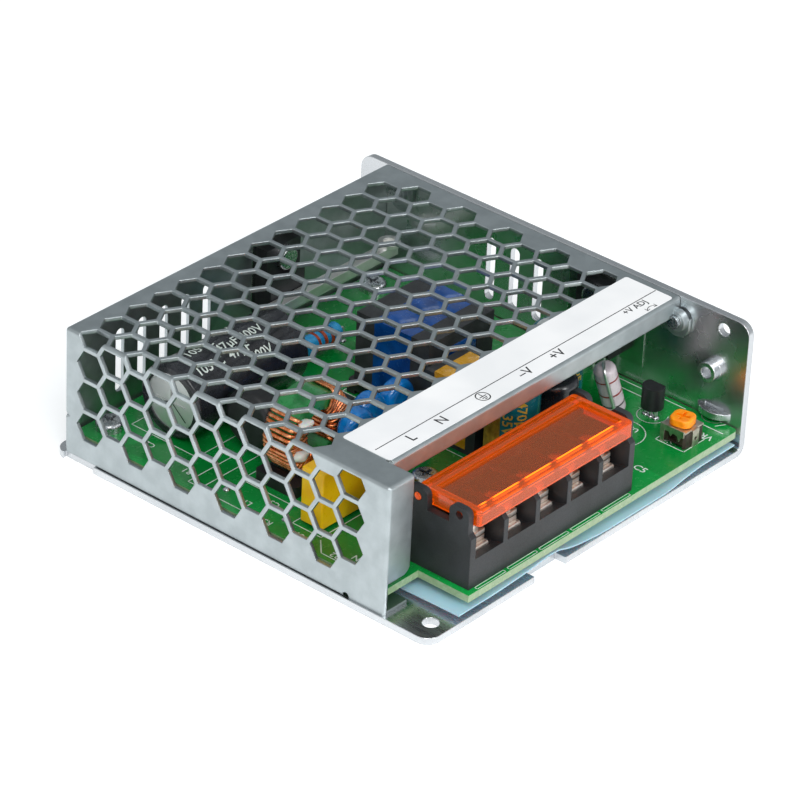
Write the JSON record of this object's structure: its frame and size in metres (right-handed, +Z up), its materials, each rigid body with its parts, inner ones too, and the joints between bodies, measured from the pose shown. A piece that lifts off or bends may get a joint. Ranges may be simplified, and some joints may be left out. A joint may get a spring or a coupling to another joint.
{
  "type": "enclosed switching power supply",
  "caption": "Low metal-cased LED power supply: perforated folded cover over a circuit board, screw terminals under a hinged orange lid, and an output trimmer.",
  "frame": {"origin": "middle of the underside of the case's bounding box, on the surface that it stands on", "axes": "+Z up, +Y towards the rear, -Y is the front with the terminals, +X towards the solid side wall"},
  "size_m": [0.097, 0.102, 0.03],
  "materials": {
    "cover_steel": "zinc plated sheet, satin",
    "chassis_aluminium": "bright mill finish",
    "label_white": "matt printed film",
    "film_blue": "pale blue insulating film",
    "board_green": "glass laminate with green solder mask",
    "block_black": "moulded",
    "lid_orange": "translucent orange moulding",
    "nickel": "nickel plated",
    "screw_zinc": "zinc plated",
    "tinned_wire": "tinned copper",
    "trimmer_body": "dark brown moulding",
    "rotor_orange": "moulded",
    "device_black": "moulded",
    "sleeve_teal": "shrunk sleeve",
    "sleeve_black": "shrunk sleeve",
    "can_aluminium": "drawn can",
    "resistor_grey": "lacquer",
    "resistor_blue": "lacquer",
    "ferrite": "pressed ferrite",
    "core_green": "epoxy coated ferrite",
    "tape_yellow": "polyester tape",
    "tape_blue": "polyester tape",
    "box_yellow": "potted plastic box",
    "disc_blue": "epoxy dip",
    "disc_black": "epoxy dip",
    "copper_winding": "enamelled copper wire",
    "pad_grey": "silicone sheet"
  },
  "bodies": {
    "case": {"base_chassis": "chassis_aluminium", "perforated_cover": "cover_steel", "cover_screws": "screw_zinc", "rating_label": "label_white", "insulation_film": "film_blue", "circuit_board": "board_green", "board_standoffs": "screw_zinc", "board_screws": "screw_zinc", "terminal_block": "block_black", "terminal_contacts": "nickel", "trimmer_base": "trimmer_body", "trimmer_saddle": "nickel", "voltage_reference": "device_black", "load_resistor": "resistor_grey", "output_capacitors": "sleeve_teal", "output_choke": "sleeve_black", "output_inductor_core": "ferrite", "output_inductor_tape": "tape_yellow", "bulk_capacitor_can": "can_aluminium", "bulk_capacitor_sleeve": "sleeve_black", "inrush_thermistor": "disc_black", "input_fuse": "device_black", "choke_core": "core_green", "choke_windings": "copper_winding", "choke_base": "device_black", "x_capacitor": "box_yellow", "y_capacitors": "disc_blue", "transformer_core": "ferrite", "transformer_winding": "tape_blue", "transformer_tape": "tape_blue", "transformer_bobbin": "device_black", "bridge_rectifier": "device_black", "optocoupler": "device_black", "snubber_resistor": "resistor_blue", "auxiliary_capacitor": "sleeve_black", "output_rectifier": "device_black", "power_switch": "device_black", "insulating_pads": "pad_grey", "device_screws": "screw_zinc", "component_leads": "tinned_wire"},
    "lid": {"terminal_lid": "lid_orange"},
    "rotor": {"trimmer_rotor": "rotor_orange"},
    "clamp_1": {"terminal_clamp_1": "nickel"},
    "screw_1": {"terminal_screw_1": "nickel"},
    "clamp_2": {"terminal_clamp_2": "nickel"},
    "screw_2": {"terminal_screw_2": "nickel"},
    "clamp_3": {"terminal_clamp_3": "nickel"},
    "screw_3": {"terminal_screw_3": "nickel"},
    "clamp_4": {"terminal_clamp_4": "nickel"},
    "screw_4": {"terminal_screw_4": "nickel"},
    "clamp_5": {"terminal_clamp_5": "nickel"},
    "screw_5": {"terminal_screw_5": "nickel"}
  },
  "joints": [
    {"name": "lid_hinge", "type": "hinge", "parent": "case", "child": "lid", "pos_m": [-0.0355, -0.0359, 0.0212], "axis": [-1, 0, 0], "range_deg": [0, 90]},
    {"name": "trimmer_turn", "type": "hinge", "parent": "case", "child": "rotor", "pos_m": [0.0359, -0.0445, 0.0099], "axis": [0, 0, 1], "range_deg": [-120, 120]},
    {"name": "clamp_lift_1", "type": "slide", "parent": "case", "child": "clamp_1", "axis": [0, 0, 1], "range_m": [0, 0.002]},
    {"name": "screw_turn_1", "type": "hinge", "parent": "clamp_1", "child": "screw_1", "pos_m": [-0.0298, -0.0426, 0.014], "axis": [0, 0, 1], "range_deg": [0, 1205]},
    {"name": "clamp_lift_2", "type": "slide", "parent": "case", "child": "clamp_2", "axis": [0, 0, 1], "range_m": [0, 0.002]},
    {"name": "screw_turn_2", "type": "hinge", "parent": "clamp_2", "child": "screw_2", "pos_m": [-0.0203, -0.0426, 0.014], "axis": [0, 0, 1], "range_deg": [0, 1205]},
    {"name": "clamp_lift_3", "type": "slide", "parent": "case", "child": "clamp_3", "axis": [0, 0, 1], "range_m": [0, 0.002]},
    {"name": "screw_turn_3", "type": "hinge", "parent": "clamp_3", "child": "screw_3", "pos_m": [-0.0108, -0.0426, 0.014], "axis": [0, 0, 1], "range_deg": [0, 1205]},
    {"name": "clamp_lift_4", "type": "slide", "parent": "case", "child": "clamp_4", "axis": [0, 0, 1], "range_m": [0, 0.002]},
    {"name": "screw_turn_4", "type": "hinge", "parent": "clamp_4", "child": "screw_4", "pos_m": [-0.0013, -0.0426, 0.014], "axis": [0, 0, 1], "range_deg": [0, 1205]},
    {"name": "clamp_lift_5", "type": "slide", "parent": "case", "child": "clamp_5", "axis": [0, 0, 1], "range_m": [0, 0.002]},
    {"name": "screw_turn_5", "type": "hinge", "parent": "clamp_5", "child": "screw_5", "pos_m": [0.0082, -0.0426, 0.014], "axis": [0, 0, 1], "range_deg": [0, 1205]}
  ],
  "couplings": [
    {"joint": "screw_turn_1", "follows": "clamp_lift_1", "rad_per_m": 10472},
    {"joint": "screw_turn_2", "follows": "clamp_lift_2", "rad_per_m": 10472},
    {"joint": "screw_turn_3", "follows": "clamp_lift_3", "rad_per_m": 10472},
    {"joint": "screw_turn_4", "follows": "clamp_lift_4", "rad_per_m": 10472},
    {"joint": "screw_turn_5", "follows": "clamp_lift_5", "rad_per_m": 10472}
  ]
}
